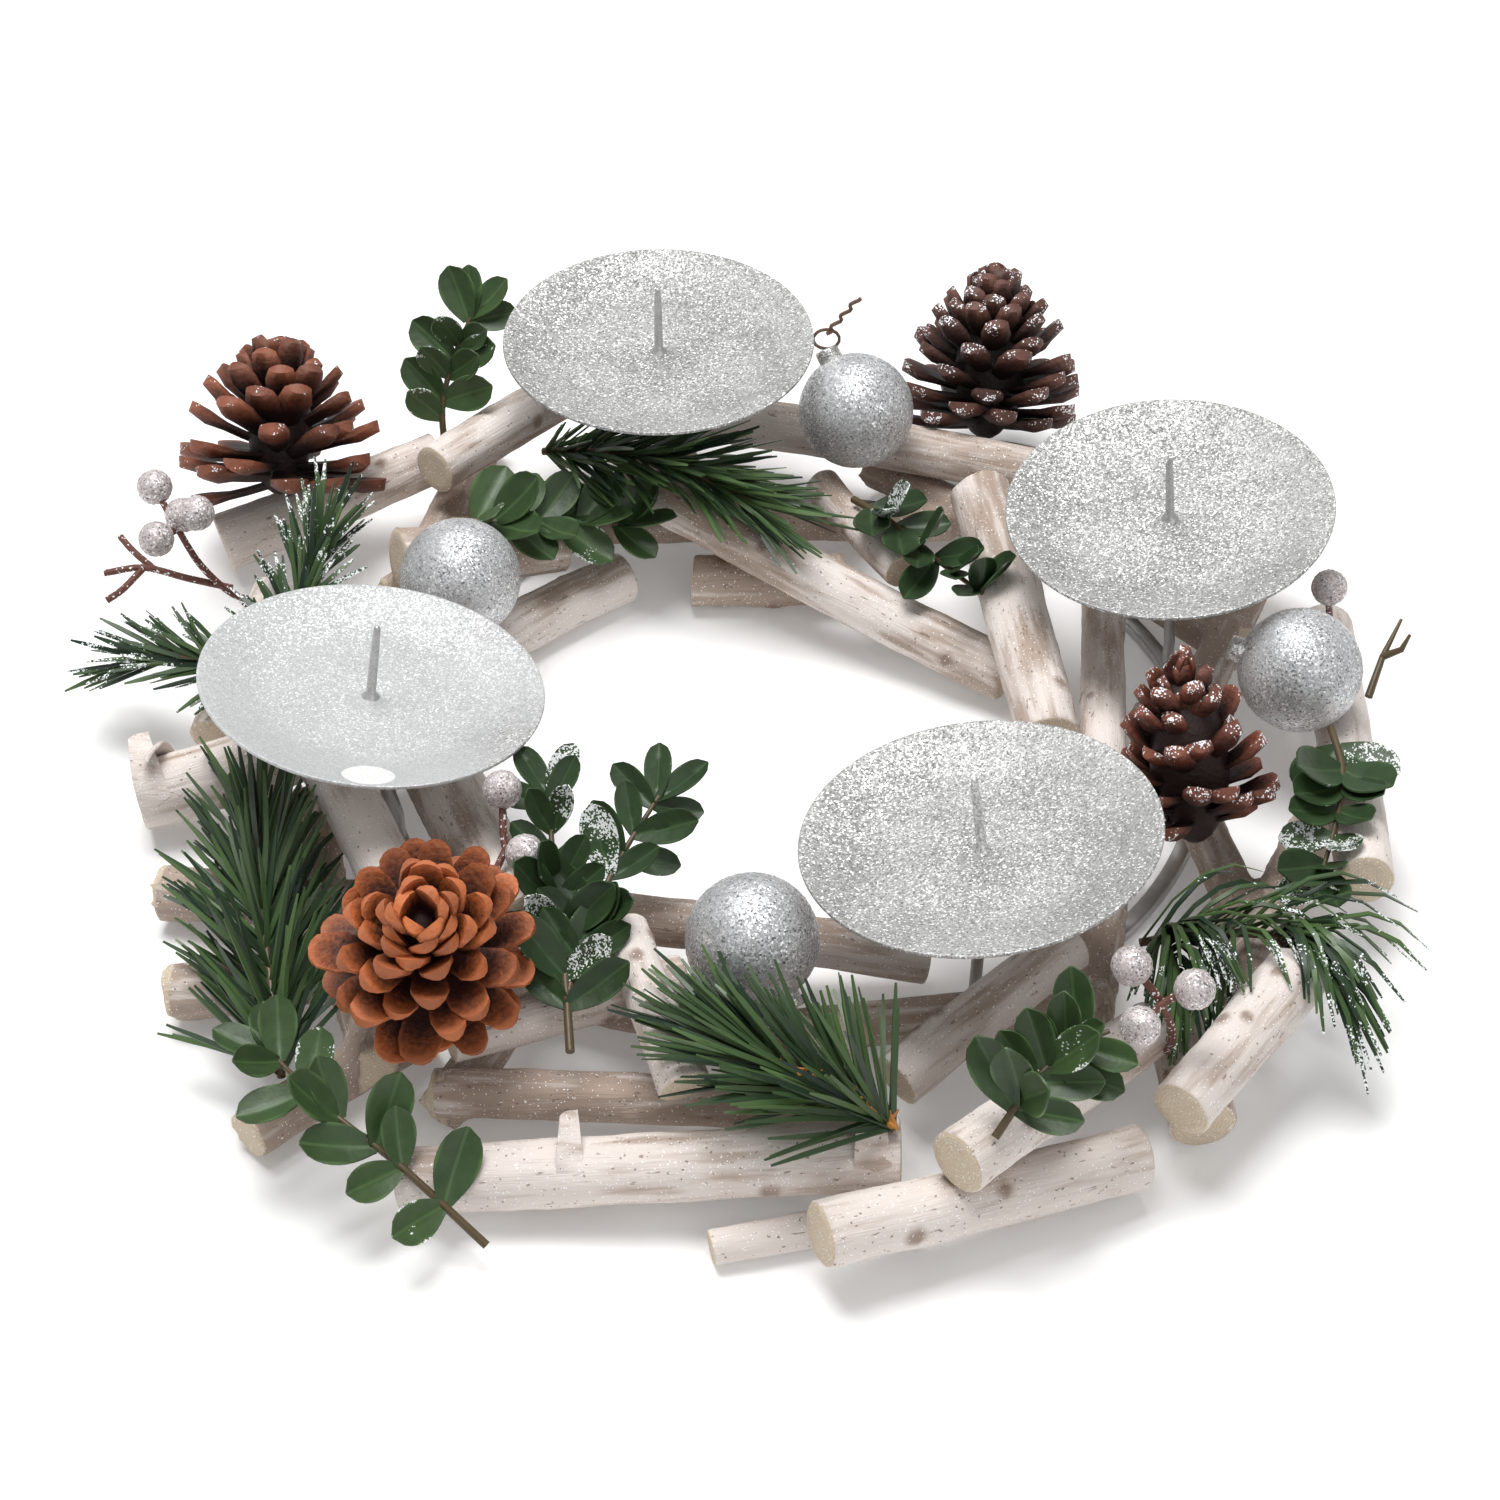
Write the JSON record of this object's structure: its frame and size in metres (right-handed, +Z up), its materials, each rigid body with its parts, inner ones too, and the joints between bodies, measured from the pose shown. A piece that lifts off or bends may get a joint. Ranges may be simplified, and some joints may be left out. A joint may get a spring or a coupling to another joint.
{
  "type": "advent wreath",
  "caption": "Advent candle wreath: whitewashed birch sticks round a steel hoop that carries spiked candle dishes, dressed with pine cones, glitter baubles, berries and greenery.",
  "frame": {"origin": "middle of the wreath's outline on the table plane", "axes": "+Z up from the table, +X to the right and +Y away as the picture shows it"},
  "size_m": [0.3291, 0.3187, 0.0735],
  "materials": {
    "steel": "silver painted wire and spikes, thinly glittered",
    "dish_glitter": "silver glitter over pale sheet steel",
    "bauble_glitter": "dense silver glitter",
    "birch": "whitewashed bark, tan where cut",
    "cone": "dry cone scales, pale frosted tips",
    "berry": "pinkish silver glitter on foam berries",
    "box_leaf": "satin green moulded leaves",
    "pine_needle": "dark green cut strip needles"
  },
  "bodies": {
    "root": {"bauble_back": "bauble_glitter", "bauble_front": "bauble_glitter", "bauble_left": "bauble_glitter", "bauble_right": "bauble_glitter", "berries_hole": "berry", "berries_left": "berry", "berries_right": "berry", "berries_right_back": "berry", "box_spray_back_hole": "box_leaf", "box_spray_back_left": "box_leaf", "box_spray_front_hole": "box_leaf", "box_spray_front_left": "box_leaf", "box_spray_front_right": "box_leaf", "box_spray_right": "box_leaf", "box_spray_right_hole": "box_leaf", "candle_dish_back": "dish_glitter", "candle_dish_front": "dish_glitter", "candle_dish_left": "dish_glitter", "candle_dish_right": "dish_glitter", "pine_cone_back": "cone", "pine_cone_front": "cone", "pine_cone_left_back": "cone", "pine_cone_right": "cone", "pine_spray_back": "pine_needle", "pine_spray_front": "pine_needle", "pine_spray_left": "pine_needle", "pine_spray_left_back": "pine_needle", "pine_spray_right": "pine_needle", "steel_frame": "steel", "stick_back_cross": "birch", "stick_back_inner": "birch", "stick_back_left_inner": "birch", "stick_back_left_middle": "birch", "stick_back_outer": "birch", "stick_back_slab": "birch", "stick_front_cross": "birch", "stick_front_inner": "birch", "stick_front_light": "birch", "stick_front_log": "birch", "stick_front_long": "birch", "stick_front_middle": "birch", "stick_front_stub": "birch", "stick_front_top": "birch", "stick_left_back_end": "birch", "stick_left_back_tan": "birch", "stick_left_inner": "birch", "stick_left_knot": "birch", "stick_left_light": "birch", "stick_left_outer": "birch", "stick_right_back": "birch", "stick_right_front_end": "birch", "stick_right_front_pale": "birch", "stick_right_hole_side": "birch", "stick_right_inner": "birch", "stick_right_outer": "birch", "stick_right_upright": "birch", "sticks_under_back": "birch", "sticks_under_front": "birch", "sticks_under_left": "birch", "sticks_under_right": "birch"}
  },
  "joints": []
}
